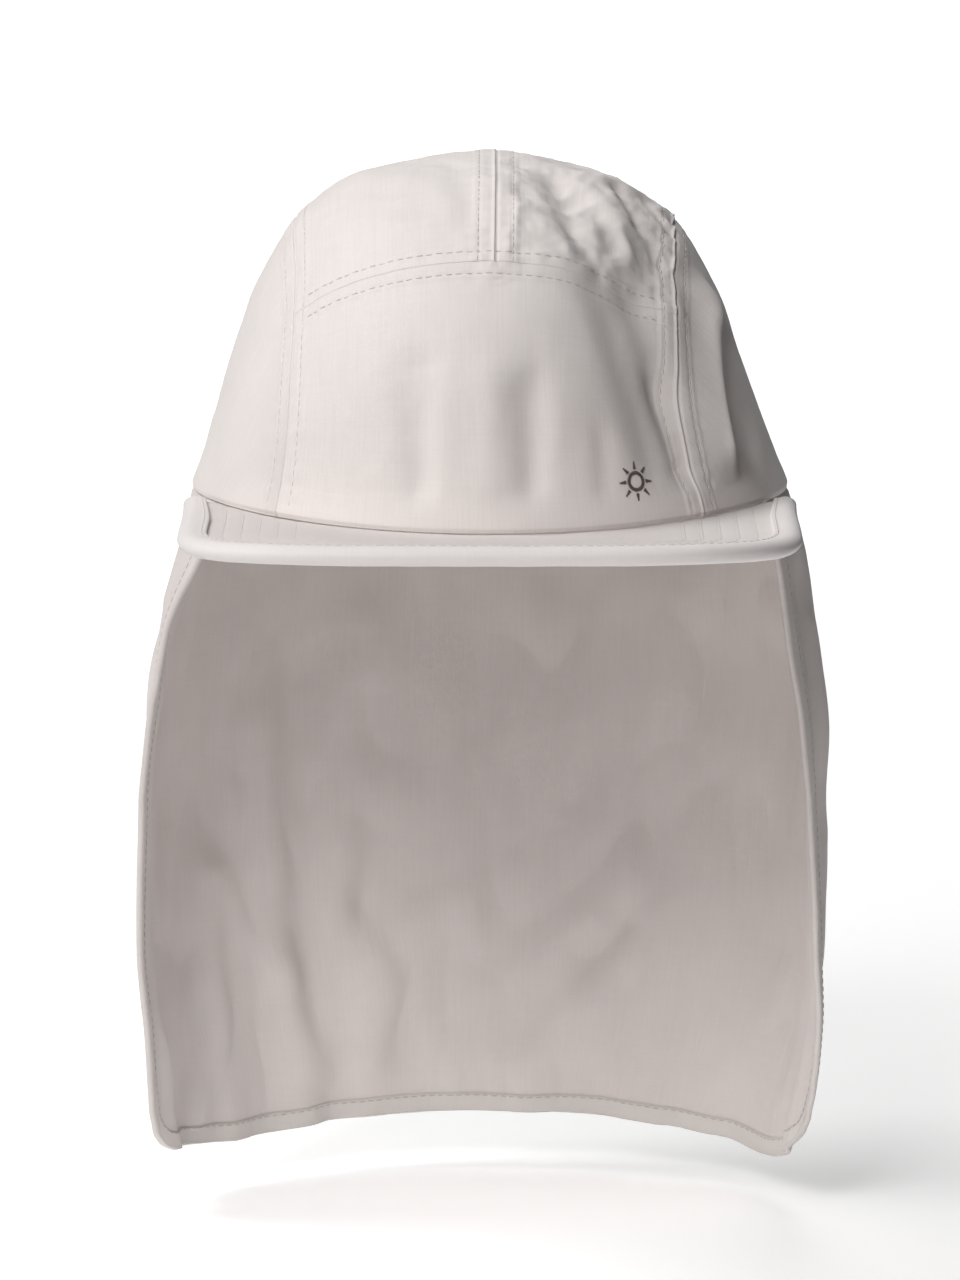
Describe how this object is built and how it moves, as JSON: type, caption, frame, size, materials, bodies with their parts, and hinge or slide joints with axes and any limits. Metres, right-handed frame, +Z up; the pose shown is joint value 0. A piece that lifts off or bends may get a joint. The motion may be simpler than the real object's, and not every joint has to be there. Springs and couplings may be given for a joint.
{
  "type": "legionnaire cap",
  "caption": "Soft panelled sun cap with a flat bound brim and a long neck flap that hangs round the back and sides of the head",
  "frame": {"origin": "centre of the head opening in the plane of the rim, where the cap sits on a head", "axes": "+Z up through the crown, -Y forward along the brim, +X to the right as seen from in front of the brim"},
  "size_m": [0.2119, 0.265, 0.3195],
  "materials": {
    "crown_cloth": "fine matt weave, off white",
    "brim_cloth": "the crown's matt weave over a soft padded core",
    "binding_cloth": "folded tape, whiter than the crown",
    "flap_cloth": "thin plain weave, warm light grey",
    "hem_cloth": "the flap's cloth turned over and stitched"
  },
  "bodies": {
    "root": {"front_panel": "crown_cloth", "top_panel_left": "crown_cloth", "top_panel_right": "crown_cloth", "side_panel_left": "crown_cloth", "side_panel_right": "crown_cloth", "brim": "brim_cloth", "brim_binding": "binding_cloth", "neck_flap": "flap_cloth", "flap_hem": "hem_cloth"}
  },
  "joints": []
}
